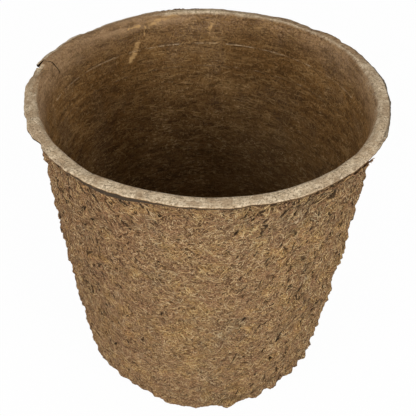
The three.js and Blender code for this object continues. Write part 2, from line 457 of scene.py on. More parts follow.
# the pot has dried a little out of true; angles are in degrees and lengths in millimetres

outOfTrue = {
    # rows of swaying waves: count, pitch, height, sway, sway count, sway pitch, turn
    "feltLumps": [(18, 36, 0.8, 75, 7, 64, 20), (11, 51, 0.6, 60, 5, 41, 110)],
    "coarseSide": 0.35, "feltFade": 14.0, "deepest": 2.1, "feltDepth": 2.2,
    "lumpOut": 0.32, "lumpIn": 0.78,  # share of a lump that stands out, and of one that sinks in
    # angle, half width, depth; a depth below nothing stands out
    "footDents": [(233, 30, 2.8), (315, 34, 1.6), (263, 16, -0.9), (290, 18, -0.9)],
    "lipSags": [(130, 36, 0.9), (28, 30, -1.0)],
    "rolledLip": (243, 17, 1.9), "crestNick": (233, 8, 1.3),
    "liftedPly": (148, 167.5, 1.9),  # from, to, height
    # angle, half width in millimetres, depth
    "chips": [(36, 3.6, 1.3), (50, 4.4, 1.5), (211, 5.0, 1.9), (214, 6.0, 0.8), (283, 7.0, 1.2),
              (97, 6.0, 0.8), (107, 4.0, 1.0), (194, 15.0, 0.9)],
    "chipReach": 3.0,
    # count, height, turn
    "lipWaves": [(3, 0.35, 20), (7, 0.25, 75), (13, 0.2, 10)],
    "edgeWaves": [(19, 0.12, 0), (31, 0.14, 100), (53, 0.12, 40), (89, 0.10, 200)],
    "edgeReach": 2.5, "edgeSway": (40, 5), "edgeCalm": 0.75,  # the edge is calmer on the right
}


def smooth(value, low, high):
    t = np.clip((value - low) / (high - low), 0, 1)
    return t * t * (3 - 2 * t)


def swell(angle, centre, width):
    share = np.abs(angle - centre) / width
    return np.where(share < 1, np.cos(np.minimum(share, 1) * math.pi / 2) ** 2, 0)


def swells(angle, places):
    return sum(depth * swell(angle, centre, width) for centre, width, depth in places)


def wave(degrees):
    return np.sin(np.radians(degrees))


def lipLift(angle):
    lift = -swells(angle, outOfTrue["lipSags"])
    for count, height, turn in outOfTrue["lipWaves"]:
        lift = lift + height * wave(count * angle + turn)
    start, end, height = outOfTrue["liftedPly"]
    along = (angle - start) / (end - start)
    return lift + np.where((along > 0) & (along <= 1), height * along**2, 0)


def feltLump(angle, height):
    s, bent, lump = fields(potSizes), fields(outOfTrue), 0
    for count, pitch, tall, sway, swayCount, swayPitch, turn in bent.feltLumps:
        row = wave(count * angle + sway * wave(360 * height / swayPitch))
        lump = lump + tall * row * wave(360 * height / pitch + sway * wave(swayCount * angle) + turn)
    aboveFoot = smooth(height, s.footRound, s.footRound + bent.feltFade)
    belowNeck = 1 - smooth(height, s.neckHeight - bent.feltFade, s.neckHeight)
    return lump * (1 + bent.coarseSide * wave(angle + 90)) * aboveFoot * belowNeck


def dryOut(mesh):
    s, bent = fields(potSizes), fields(outOfTrue)
    co = np.empty(len(mesh.vertices) * 3, np.float32)
    mesh.vertices.foreach_get("co", co)
    co = co.reshape(-1, 3) / mm
    tall = co[:, 2]
    radius = np.hypot(co[:, 0], co[:, 1])
    angle = np.degrees(np.arctan2(co[:, 1], co[:, 0])) % 360
    lip, crest = s.lipRadius, s.crest
    inside = lip - s.lipWidth
    up = smooth(tall, s.neckHeight, s.height - crest)
    rise = up * (0.4 + 0.6 * smooth(radius, inside - crest, lip)) * lipLift(angle)

    # foot and lip pulled in
    standing = s.footRadius - s.footRound
    low = 1 - smooth(tall, s.footRound / 2, 4 * s.footRound)
    reach = smooth(radius, standing - s.footRound, standing)
    pull = swells(angle, bent.footDents) * low * reach
    for centre, width, depth in bent.chips:
        across = np.abs(np.radians(angle - centre)) * lip
        near = smooth(radius, lip - bent.chipReach, lip)
        pull = pull + depth * np.clip(1 - across / width, 0, 1) * near * up

    # lumps of the outer face, clear of what lies behind it
    felt = radius > wallRadius(tall) - bent.feltDepth
    lump = feltLump(angle, tall)
    lump = lump * np.where(lump > 0, bent.lumpOut, bent.lumpIn)
    raised = np.maximum(radius + lump, np.minimum(radius, wallRadius(tall) - bent.deepest))
    pull = pull + np.where(felt, radius - raised, 0)

    # ragged edge, rolled lip and nick
    sway, swayCount = bent.edgeSway
    swayed = sway * wave(swayCount * angle)
    ragged = sum(high * wave(count * angle + turn + swayed) for count, high, turn in bent.edgeWaves)
    ragged = ragged * (1 - bent.edgeCalm * smooth(co[:, 0], 0, 60))
    pull = pull + ragged * up * smooth(radius, lip - bent.edgeReach, lip)
    edgeLow = s.height - s.lipDrop - s.lipEdge
    rolled = smooth(radius, 96, 100) * (1 - smooth(tall, edgeLow + 0.2, edgeLow + 1.2)) * up
    rise = rise - rolled * swells(angle, [bent.rolledLip])
    nick, half, drop = bent.crestNick
    nearCrest = up * (1 - smooth(radius, inside, inside + 5))
    rise = rise - drop * np.clip(1 - np.abs(angle - nick) / half, 0, 1) * nearCrest

    scale = 1 - pull / np.maximum(radius, 1)
    co[:, 0] *= scale
    co[:, 1] *= scale
    co[:, 2] = np.maximum(tall + rise, 0)
    mesh.vertices.foreach_set("co", (co * mm).astype(np.float32).ravel())
    mesh.update()


# finishes

pulpColours = {
    "umber": (0.27, 0.149, 0.072), "ochre": (0.41, 0.248, 0.102), "rose": (0.345, 0.192, 0.102),
    # hollow and pit are also painted as shade: in the felt's hollows, pits and slots, and in the torn gaps
    "fibre": (0.6, 0.405, 0.2), "straw": (0.68, 0.5, 0.282), "hollow": (0.072, 0.037, 0.016),
    "pit": (0.018, 0.01, 0.005), "rosyTint": (1.01, 0.945, 0.96), "ashTint": (0.89, 0.935, 1),
    # of the tints on the next line, the pale one is painted light on the felt and the last one painted
    # shade inside the pot
    "goldTint": (1.09, 1.06, 0.93), "paleTint": (1.13, 1.13, 1.13), "dampTint": (0.64, 0.6, 0.53),
    "inside": (0.2, 0.102, 0.034), "insideWarm": (0.278, 0.15, 0.052), "insideDark": (0.058, 0.028, 0.01),
    "insidePale": (0.46, 0.285, 0.122), "insideFleck": (0.64, 0.43, 0.21), "insideSoft": (0.45, 0.29, 0.16),
    "insideAsh": (0.15, 0.098, 0.062), "insideRose": (0.345, 0.218, 0.128),
    "insideRust": (0.295, 0.142, 0.04),
    "stain": (0.56, 0.34, 0.14), "lipLow": (0.555, 0.413, 0.26), "lipHigh": (0.79, 0.637, 0.44),
    # the colour under the lip is painted shade on its lower edge
    "lipFleck": (0.25, 0.175, 0.105), "lipUnder": (0.055, 0.039, 0.025), "lipTan": (0.37, 0.25, 0.145),
}


def paint(colour):  # a name stands for its colour
    return (*pulpColours[colour], 1) if isinstance(colour, str) else colour


def newFinish(name, roughness=0.92, sheen=0.08):
    material = bpy.data.materials.new(name)
    material.use_nodes = True
    g = Graph(material.node_tree)
    shader = g.tree.nodes["Principled BSDF"]
    shader.inputs["Specular IOR Level"].default_value = sheen
    shader.inputs["Roughness"].default_value = roughness
    return material, g, shader


def carriedValue(g, label):
    return g.add("ShaderNodeAttribute", attribute_name=label).outputs["Fac"]


def closeFinish(g, shader, at, colour, bump):
    height = 0.0
    for mark, share in bump["marks"].items():
        height = g.calc("MULTIPLY_ADD", getattr(at, mark), share, height)
    feeds = {"Strength": bump["strength"], "Distance": bump["depth"], "Height": height}
    g.link(g.first("ShaderNodeBump", feeds), shader.inputs["Normal"])
    g.link(colour, shader.inputs["Base Color"])


def fibreLayer(g, lay, lean, look, layer):  # one short bowed fibre in each cell of the surface
    cell, width = look.cell, look.width
    moved = g.vector("ADD", lay, (0.137 * layer, 0.091 * layer, 0))
    feeds = {"Vector": moved, "Scale": 1.0 / cell}
    cells = g.add("ShaderNodeTexVoronoi", feeds, voronoi_dimensions="2D").outputs
    chance = g.split(cells["Color"])
    away = g.vector("SUBTRACT", moved, cells["Position"])
    angle = g.calc("MULTIPLY_ADD", g.minus(chance[0], 0.5), math.radians(look.swing), lean)
    own = g.split(g.turned(away, angle))
    bow = g.times(g.times(own[0], own[0]), g.times(g.minus(chance[1], 0.5), look.bow / cell))
    line = g.ease(g.calc("ABSOLUTE", g.plus(own[1], bow)), width * 0.3, width, 1.0, 0.0)
    ends = g.ease(g.calc("ABSOLUTE", own[0]), cell * 0.35, cell * 0.6, 1.0, 0.0)
    return g.times(line, ends), chance[2]


def fibreMat(g, lay, lean, look):  # layers of fibres, each over the last
    cover, tone = fibreLayer(g, lay, lean, look, look.first)
    for layer in range(1, look.layers):
        line, chance = fibreLayer(g, lay, lean, look, look.first + layer)
        cover = g.calc("MAXIMUM", cover, line)
        tone = g.blend(line, tone, chance)
    return cover, tone


# a mark is its size, detail, roughness and twist, and a bend is its size and reach
# a layer is a colour and the regions it lies in, each a product of spans of x, y, z or a mark

feltLook = {
    "lean": 0.95, "curl": (0.005, 0.001),
    "long": {"cell": 0.004, "width": 0.00032, "swing": 130, "bow": 0.9, "layers": 5, "first": 1},
    "short": {"cell": 0.0022, "width": 0.00027, "swing": 200, "bow": 0.9, "layers": 4, "first": 11},
    "cover": 0.9,
    "tones": [(0.06, "hollow"), (0.26, "umber"), (0.44, "rose"), (0.62, "ochre"), (0.82, "fibre"),
              (0.96, "straw")],
    "patch": (0.013, 3, 0.6), "fine": (0.0012, 3, 0.7), "crumb": (0.0008, 2, 0.6),
    "rosy": (0.011, 3, 0.65), "rosyBend": (0.02, 0.01), "rosyLeft": (0.005, -0.05, 0, 0.45),
    "ashy": (0.026, 4, 0.65, 0.4), "worn": [("x", -0.01, 0.03, 0, 0.5), ("z", 0.135, 0.165)],
    # slots between the fibres, painted dark as shade, more of them under the lip and at both sides
    "slot": (0.0021, 2, 0.5, 0.4), "slotLong": 0.3, "slotLevels": (0.64, 0.73),
    "slotNeck": [("z", 0.162, 0.18), ("x", -0.02, 0.05, 0.05, 0.1)],
    "slotSides": [("x", -0.01, 0.07, 0, 0.06), ("x", -0.01, -0.07, 0, 0.055)],
    "layers": [
        ("straw", [("crumb", 0.56, 0.68, 0, 0.5)]),
        ("rosyTint", [("rosy",)]),
        ("ashTint", [("ashy",)]),
        ("goldTint", [("patch", 0.5, 0.66)]),
        # painted light on the right side, the left foot and the far left of the felt
        ("paleTint", [("x", 0.005, 0.05)], [("x", -0.01, -0.045), ("z", 0.055, 0.025)],
         [("x", -0.055, -0.085, 0, 0.6)]),
        # painted shade in the deepest hollows of the relief
        ("hollow", [("relief", -0.001, -0.0024, 0, 0.5)]),
        # painted shade just under the lip on the right half
        ("hollow", [("z", 0.179, 0.1845, 0, 0.8), ("x", -0.005, 0.045), ("fine", 0.56, 0.42)]),
        # painted shade in the slots and in the pits of the relief
        ("pit", [("slots", 0.85)]),
        ("pit", [("pit", 0.25, 0.85, 0, 0.95)]),
    ],
    "bump": {"strength": 1, "depth": 0.0016,
             "marks": {"fine": 0.6, "cover": 0.25, "over": 0.4, "slots": -0.5}},
}


def slotShare(g, lay, at):  # dark slots that lean one way on each side of the pot
    look, leaning = fields(feltLook), []
    for lean in (-look.lean, look.lean):
        drawn = g.vector("MULTIPLY", g.turned(lay, -lean), (look.slotLong, 1.0, 1.0))
        leaning.append(g.grain(drawn, *look.slot))
    slot = g.blend(g.ease(at.x, -0.03, 0.03), *leaning)
    more = g.region(at, look.slotSides, g.region(at, look.slotNeck), "ADD")
    return g.ease(g.plus(slot, more), *look.slotLevels)


def startMarks(g):
    place = g.add("ShaderNodeTexCoord").outputs["Object"]
    return place, g.first("ShaderNodeUVMap", uv_map="lay"), g.axes(place)


def feltFinish():
    look = fields(feltLook)
    material, g, shader = newFinish("felted pulp")
    place, lay, at = startMarks(g)
    curled = g.warp(lay, *look.curl)
    at.patch = g.grain(place, *look.patch)
    colour = g.coat("umber", g.ease(at.patch, 0.40, 0.62), "ochre")
    rosy = g.ease(g.grain(g.warp(place, *look.rosyBend), *look.rosy), 0.50, 0.66)
    at.rosy = g.calc("MULTIPLY_ADD", rosy, 0.7, g.ease(at.x, *look.rosyLeft))
    ashy = g.ease(g.grain(place, *look.ashy), 0.52, 0.66)
    at.ashy = g.plus(ashy, g.region(at, look.worn))  # handled most below the lip
    at.fine = g.grain(place, *look.fine)
    # painted shade in the fine gaps of the ground between the fibres
    colour = g.coat(colour, g.ease(at.fine, 0.65, 0.40), "hollow")

    # fibres lean one way on each side of the pot
    lean = g.times(at.x, look.lean / -feltRadius)
    at.cover, tone = fibreMat(g, curled, lean, fields(look.short))
    at.over, overTone = fibreMat(g, curled, lean, fields(look.long))
    colour = g.coat(colour, g.times(at.cover, look.cover), g.toneRamp(tone, look.tones))
    colour = g.coat(colour, g.times(at.over, look.cover), g.toneRamp(overTone, look.tones))
    at.crumb = g.grain(place, *look.crumb)
    at.relief, at.pit = carriedValue(g, "relief"), carriedValue(g, "pit")
    at.slots = slotShare(g, lay, at)
    colour = g.coats(colour, at, look.layers)
    closeFinish(g, shader, at, colour, look.bump)
    return material


pressedLook = {
    "curl": (0.007, 0.002),
    "streak": {"cell": 0.007, "width": 0.0005, "swing": 50, "bow": 0.8, "layers": 4, "first": 21},
    "short": {"cell": 0.0026, "width": 0.0004, "swing": 260, "bow": 1.2, "layers": 4, "first": 31},
    "streakCover": 0.7, "shortCover": 0.55, "lipCover": 0.6,
    "tones": [(0, "insideDark"), (0.4, "inside"), (0.7, "insideWarm"), (0.94, "insidePale")],
    "lipTones": [(0, "lipFleck"), (0.5, "lipLow"), (1, "lipHigh")],
    "fine": (0.0012, 3, 0.7), "patch": (0.014, 3, 0.6), "ash": (0.03, 3, 0.6, 0.4),
    "drawnOut": (0.27, 0.27, 1), "blot": (0.0032, 4, 0.65, 0.4), "cloud": (0.0072, 3, 0.6, 0.6),
    "speckShape": (0.55, 0.55, 1), "speck": (0.0015, 3, 0.65, 0.4),
    "deeper": (0.165, 0.1, 0.65, 1), "moreSpecks": (0.13, 0.08, 0, 0.05),
    "underLayers": [
        ("insideRust", [("side", 0.02, 0.08, 0, 0.6)]),
        ("insideAsh", [("ash", 0.5, 0.62, 0, 0.5)]),
        ("insideRose", [("z", 0.166, 0.188, 0, 0.55)]),
        ("insideDark", [("deeper",), ("cloud", 0.5, 0.32, 0, 0.7)]),
        ("insidePale", [("deeper",), ("cloud", 0.52, 0.68, 0, 0.5)]),
        ("insideDark", [("deeper",), ("blot", 0.52, 0.34, 0, 0.9)]),
        ("insidePale", [("deeper",), ("blot", 0.54, 0.7, 0, 0.65)]),
        ("insideDark", [("fine", 0.55, 0.36, 0, 0.72)]),
        ("insideWarm", [("z", 0.12, 0.05, 0, 0.4)]),
        ("insideFleck", [("speck", 0.55, 0.68), ("z", 0.17, 0.08, 0.35, 1),
                         ("patch", 0.36, 0.6, 0.25, 1)]),
    ],
    "overLayers": [
        # a soft paler band just inside the lip at both sides: partly the flare's paler pulp and partly
        # painted light
        ("insideSoft", [("z", 0.169, 0.188, 0, 0.75), ("side", 0.04, 0.085), ("x", 0, 0.06, 0.78, 0.65),
                        ("blot", 0.36, 0.6, 0.45, 1), ("fine", 0.36, 0.6, 0.5, 1)]),
        # painted shade at the back on the left, low down on the left, and below the lip at the back on the
        # right
        ("dampTint",
         [("x", -0.025, -0.055), ("y", 0.03, 0.058), ("z", 0.1885, 0.184), ("z", 0.18, 0.138, 0.5, 1)],
         [("x", -0.04, -0.07), ("z", 0.145, 0.125, 0, 0.6)],
         [("x", -0.005, 0.025), ("x", 0.075, 0.045, 0, 0.75), ("z", 0.135, 0.16), ("z", 0.187, 0.179),
          ("y", 0.03, 0.05)]),
        # lighter low down on the right, and by the lip at the back on the left
        ("insidePale", [("x", 0, 0.04, 0, 0.13), ("z", 0.135, 0.105)]),
        ("insideSoft", [("x", 0, -0.03, 0, 0.5), ("y", 0.05, 0.07), ("z", 0.181, 0.187),
                        ("blot", 0.36, 0.6, 0.3, 1.1)]),
    ],
    # pale stains as strokes: angle and height of both ends, in degrees and millimetres, and reach
    "stains": [((102, 190), (108, 188), 2.2), ((108, 188), (115, 185.2), 1.5),
               ((116.5, 184), (117, 178), 0.9), ((119, 185.6), (124, 185.6), 0.9),
               ((120, 175), (121, 171), 1.9), ((122, 168.5), (124, 164.5), 2),
               ((89, 183), (90, 177), 1.2), ((84.5, 178), (85, 177), 1.2)],
    "fray": (0.003, 0.0035),
    "lipPatch": (0.007, 4, 0.65), "lipSpeck": (0.0026, 1, 0.5),
    "tan": (0.0085, 3, 0.65), "tanBend": (0.01, 0.006),
    "tanSides": [("x", -0.02, -0.09, 0, 0.1), ("x", 0.03, 0.09, 0, 0.05)],  # most on the left
    "lipLayers": [
        ("pit", [("lipSpeck", 0.74, 0.8, 0, 0.85)]),
        ("lipTan", [("tan", 0.54, 0.68, 0, 0.65)]),
    ],
    # the lip is brown at the back but for its crest, or its edge by the split; it fades inwards on the left
    "back": [("aslant", 0.006, 0.034, 0, -0.75), ("x", 0.02, 0.06, 0.45, 0.75)],
    "torn": (0.02, 0.024), "tornEdge": (0.0993, 0.0978, 0, -1.7),
    "left": [("x", -0.07, -0.092), ("out", 0.0995, 0.094, 0, -0.7), ("y", -0.035, 0.022, 0, 1.75)],
    "ragged": (0.005, 4, 0.7), "ledgePatch": (0.012, 3, 0.6),
    # painted shade along the lip's outer edge on the right, fainter towards the back
    "edge": [("out", 0.0994, 0.1007, 0, 0.9), ("z", 0.184, 0.186), ("y", -0.062, -0.015), ("x", 0.02, 0.06),
             ("y", 0.07, 0.03, 0.2, 1)],
    "bump": {"strength": 0.9, "depth": 0.0008,
             "marks": {"fine": 1, "blot": 1, "cover": 0.3, "over": 0.3}},
}


def polar(angle, radius, height):
    return radius * math.cos(math.radians(angle)), radius * math.sin(math.radians(angle)), height


def insidePlace(angle, height):
    out = wallRadius(height) - potSizes["wall"] + 3 * smooth(height, 180.0, 190.0)
    return Vector(polar(angle, out, height)) * mm


def strokeShare(g, place, start, end, reach):  # 1 on the stroke, fading out to its reach
    along = end - start
    away = g.vector("SUBTRACT", place, start)
    share = g.vector("DOT_PRODUCT", away, along / along.length_squared, "Value")
    nearest = g.scaled(along, g.first("ShaderNodeClamp", {0: share}))
    far = g.vector("DISTANCE", away, nearest, "Value")
    return g.ease(far, reach * mm * 0.3, reach * mm * 1.3, 1.0, 0.0)


def insideColour(g, place, lay, at):
    look = fields(pressedLook)
    curled = g.warp(lay, *look.curl)
    at.fine = g.grain(place, *look.fine)
    drawnOut = g.vector("MULTIPLY", place, look.drawnOut)
    at.blot = g.grain(drawnOut, *look.blot)
    at.patch = g.grain(place, *look.patch)
    brown = g.coat("inside", g.ease(at.patch, 0.38, 0.62), "insideWarm")
    at.side = g.calc("ABSOLUTE", at.x)
    at.ash = g.grain(place, *look.ash)
    at.cloud = g.grain(drawnOut, *look.cloud)
    at.deeper = g.ease(at.z, *look.deeper)  # the marks are softer near the lip
    speck = g.grain(g.vector("MULTIPLY", place, look.speckShape), *look.speck)
    at.speck = g.plus(speck, g.ease(at.z, *look.moreSpecks))  # more of them far down
    brown = g.coats(brown, at, look.underLayers)
    at.cover, at.tone = fibreMat(g, curled, 0.0, fields(look.short))
    at.over, overTone = fibreMat(g, curled, 0.0, fields(look.streak))
    brown = g.coat(brown, g.times(at.cover, look.shortCover), g.toneRamp(at.tone, look.tones))
    streaks = g.times(at.over, g.times(at.deeper, look.streakCover))
    brown = g.coat(brown, streaks, g.toneRamp(overTone, look.tones))
    brown = g.coats(brown, at, look.overLayers)
    frayed = g.warp(place, *look.fray)
    strokes = [strokeShare(g, frayed, insidePlace(*start), insidePlace(*end), reach)
               for start, end, reach in look.stains]
    stain = g.times(g.strongest(strokes), g.ease(at.blot, 0.40, 0.58, 0.2, 0.9))
    return g.coat(brown, stain, "stain")


def lipColour(g, place, at):
    look = fields(pressedLook)
    pale = g.coat("lipLow", g.ease(g.grain(place, *look.lipPatch), 0.36, 0.64), "lipHigh")
    pale = g.coat(pale, g.ease(at.fine, 0.53, 0.33), "lipFleck")
    pale = g.coat(pale, g.times(at.cover, look.lipCover), g.toneRamp(at.tone, look.lipTones))
    at.lipSpeck = g.grain(place, *look.lipSpeck)
    tan = g.grain(g.warp(place, *look.tanBend), *look.tan)
    at.tan = g.region(at, look.tanSides, tan, "ADD")
    return g.coats(pale, at, look.lipLayers)


def pressedFinish():
    look = fields(pressedLook)
    material, g, shader = newFinish("pressed pulp")
    place, lay, at = startMarks(g)
    brown = insideColour(g, place, lay, at)
    pale = lipColour(g, place, at)

    # where the lip is brown after all
    carried = carriedValue(g, "pale")
    at.out = g.vector("LENGTH", g.vector("MULTIPLY", place, (1.0, 1.0, 0.0)), output="Value")
    at.aslant = g.calc("MULTIPLY_ADD", at.x, -0.14, at.y)
    back = g.region(at, look.back)
    torn = g.ease(at.y, *look.torn)
    back = g.times(back, g.strongest([torn, g.ease(at.x, -0.06, -0.02)]))
    split = g.times(g.ease(at.x, -0.02, -0.06), torn)
    back = g.blend(split, back, g.ease(at.out, *look.tornEdge))
    less = g.calc("MINIMUM", back, g.region(at, look.left))
    less = g.times(less, g.ease(at.z, 0.180, 0.186))
    ragged = g.times(g.minus(g.grain(place, *look.ragged), 0.5), 0.9)

    # the ledge's painted highlight and shade show faintly, and not at the front
    ledge = g.ease(g.grain(place, *look.ledgePatch), 0.34, 0.58, 0.5, 1.0)
    shown = g.times(g.ease(at.y, -0.005, 0.03), ledge)
    carried = g.times(carried, g.calc("MAXIMUM", shown, g.ease(at.z, 0.172, 0.174)))
    share = g.plus(g.plus(carried, less), g.times(ragged, g.ease(carried, 0.05, 0.25)))
    colour = g.coat(brown, g.ease(share, 0.12, 0.92), pale)
    # painted shade on the lip's outer edge on the right
    colour = g.coat(colour, g.region(at, look.edge), "lipUnder")
    # painted shade under the lip, where the section carries negative paleness: the lip's lower edge and the
    # crease above the ledge, fainter on the right
    under = g.ease(g.plus(carried, g.times(ragged, 0.7)), -0.10, -0.40)
    colour = g.coat(colour, g.times(under, g.ease(at.x, 0.00, 0.05, 1.0, 0.55)), "lipUnder")
    closeFinish(g, shader, at, colour, look.bump)
    return material


# the two faces of the wall

feltValues = {
    "Turns": 460, "Cobble Size": 0.0085, "Cobble Height": 0.0017, "Clump Size": 0.004,
    "Clump Height": 0.0011, "Pit Depth": 0.0016, "Sag": 0.6, "Flat Below": 0.0026, "Lay Radius": feltRadius,
}
pressedValues = {
    "Turns": 460, "Cobble Size": 0.016, "Cobble Height": 0.0012, "Clump Size": 0.004,
    "Clump Height": 0.0007, "Pit Depth": 0.0, "Sag": 0.0, "Flat Below": 0.0072, "Lay Radius": 0.085,
}

turning = turnTree()


def makeShell(name, rows, values, finish):
    piece = runTree(newPiece(name, sectionMesh(name, rows)), turning, {**values, "Finish": finish})
    dryOut(piece.data)
    return piece


feltWall = makeShell("felt_wall", feltSection(), feltValues, feltFinish())
pressedWall = makeShell("pressed_wall", pressedSection(), pressedValues, pressedFinish())


# drain holes through both faces, and the split in the lip

cutValues = {
    "holes": 4, "holeRadius": 5.5, "holeCircle": 52.0, "holeSpan": (-3, 12),
    "fray": 0.18, "frayCounts": (2, 7, 11, 17),
    # angle, inner and outer radius
    "split": [(163.6, 99.3, 99.5), (165.0, 98.9, 99.6), (166.6, 98.7, 99.9), (167.5, 98.7, 99.9),
              (167.6, 98.7, 103), (168.2, 99.4, 103)],
    "splitSpan": (184.5, 197),
    # angle, radius, height, half width, lean of its blade
    "crack": [(164.6, 98.8, 189.8, 0.10, 90), (164.4, 96.0, 190.0, 0.26, 90),
              (164.0, 94.2, 189.2, 0.34, 120), (163.5, 93.0, 187.2, 0.34, 150),
              (162.8, 92.2, 184.8, 0.30, 165), (162.2, 91.5, 182.4, 0.20, 175),
              (162.0, 91.2, 180.6, 0.10, 180)],
    "crackDepth": 1.1, "crackOut": 1.5,
}


def inMetres(points):
    return [(x * mm, y * mm, z * mm) for x, y, z in points]


def sweptMesh(name, rings):  # closed tube through rings of the same length, in millimetres
    size, last, faces = len(rings[0]), len(rings) - 1, []
    for row in range(last):
        for i in range(size):
            a, b = row * size + i, row * size + (i + 1) % size
            faces.append((a, b, b + size, a + size))
    faces += [tuple(reversed(range(size))), tuple(range(last * size, (last + 1) * size))]
    mesh = bpy.data.meshes.new(name)
    mesh.from_pydata(inMetres([point for ring in rings for point in ring]), [], faces)
    shape = bmesh.new()
    shape.from_mesh(mesh)
    bmesh.ops.recalc_face_normals(shape, faces=shape.faces)
    shape.to_mesh(mesh)
    shape.free()
    return mesh


def cutAway(pieces, name, mesh, finish):
    mesh.materials.append(finish)
    cutter = newPiece(name, mesh)
    for piece in pieces:
        modifier = piece.modifiers.new(name, "BOOLEAN")
        modifier.operation, modifier.solver, modifier.object = "DIFFERENCE", "MANIFOLD", cutter
        modifier.material_mode = "TRANSFER"
        keepMade(piece)
    bpy.data.objects.remove(cutter)
    bpy.data.meshes.remove(mesh)


def drainMesh(index):
    v = fields(cutValues)
    x, y, _ = polar(45 + 360 * index / v.holes, v.holeCircle, 0)
    outline = []
    for a in [360 * i / 48 for i in range(48)]:
        ragged = sum(math.sin(math.radians(n * a + 130 * index * n)) for n in v.frayCounts)
        outline.append(polar(a, v.holeRadius + v.fray * ragged, 0))
    return sweptMesh("drain", [[(x + i, y + j, height) for i, j, _ in outline] for height in v.holeSpan])


def splitMesh():
    rings, (low, high) = [], cutValues["splitSpan"]
    for angle, inner, outer in cutValues["split"]:
        corners = [(inner, low), (outer, low), (outer, high), (inner, high)]
        rings.append([polar(angle, radius, height) for radius, height in corners])
    return sweptMesh("split", rings)


def crackMesh():
    rings, deep, out = [], cutValues["crackDepth"], cutValues["crackOut"]
    for angle, radius, height, half, lean in cutValues["crack"]:
        side = math.degrees(half / radius)
        rise, run = math.sin(math.radians(lean)), math.cos(math.radians(lean))
        above = polar(angle, radius + out * run, height + out * rise)
        below = polar(angle, radius - deep * run, height - deep * rise)
        left, right = [polar(angle + turn, radius, height) for turn in (-side, side)]
        rings.append([above, left, below, right])
    return sweptMesh("crack", rings)


# the faces cut by the split and the crack are painted near black: painted shade in the gaps
tornShadeFinish, _, tornShadeShader = newFinish("torn gap shade")
tornShadeShader.inputs["Base Color"].default_value = paint("pit")
for index in range(cutValues["holes"]):
    cutAway([feltWall, pressedWall], "drain", drainMesh(index), feltWall.data.materials[0])
for torn in (splitMesh(), crackMesh()):
    dryOut(torn)
    cutAway([pressedWall], "torn", torn, tornShadeFinish)
print("holes and split cut", len(feltWall.data.polygons), len(pressedWall.data.polygons), "faces")


# loose fibres that lie on the felt, and shreds along strips of the lip's edge

everyFibre = {"Per Square Metre": 61000.0, "Lift": 0.0004, "Above": -1.0, "Tone From": 0.0, "Tone To": 1.0}
fibreValues = {
    "long_fibres": {"Length": 0.0036, "Thickness": 0.00034, "Curl": 0.0011, "Swing": 1.1, "Seed": 3},
    "short_fibres": {"Length": 0.0020, "Thickness": 0.00036, "Curl": 0.0008, "Swing": 1.5, "Seed": 8},
    "neck_fibres": {
        "Per Square Metre": 12000.0, "Length": 0.0070, "Thickness": 0.00040, "Curl": 0.0022, "Lift": 0.0009,
        "Above": 0.166, "Swing": 0.6, "Tone From": 0.1, "Tone To": 0.95, "Seed": 5},
}
shredValues = {  # edges: radius and height
    "back_shreds": {
        "angles": (109.0, 94.0), "edges": [(101.1, 189.4), (99.6, 189.4)], "ragged": 0.0,
        "fibres": {"Per Square Metre": 900000.0, "Length": 0.0026, "Thickness": 0.0006, "Curl": 0.0012,
                   "Lift": 0.0009, "Swing": 0.7, "Tone To": 0.1, "Seed": 4}},
    "front_shreds": {
        "angles": (301.0, 326.5), "edges": [(99.4, 184.9), (102.2, 187.6)], "ragged": 1.6,
        "fibres": {"Per Square Metre": 1300000.0, "Length": 0.0046, "Thickness": 0.00045, "Curl": 0.0026,
                   "Lift": 0.0012, "Swing": 1.4, "Tone To": 0.8, "Seed": 6}},
}
strandValues = {
    "points": 5, "sides": 3, "sizes": (0.5, 1.6), "curlSize": 1 / 330,
    "weave": 0.0032, "sunk": 0.42, "lowest": 0.0003,
    "tones": [(0.0, "hollow"), (0.25, "umber"), (0.48, "rose"), (0.68, "ochre"), (0.92, "fibre"),
              (1.0, "straw")],
}


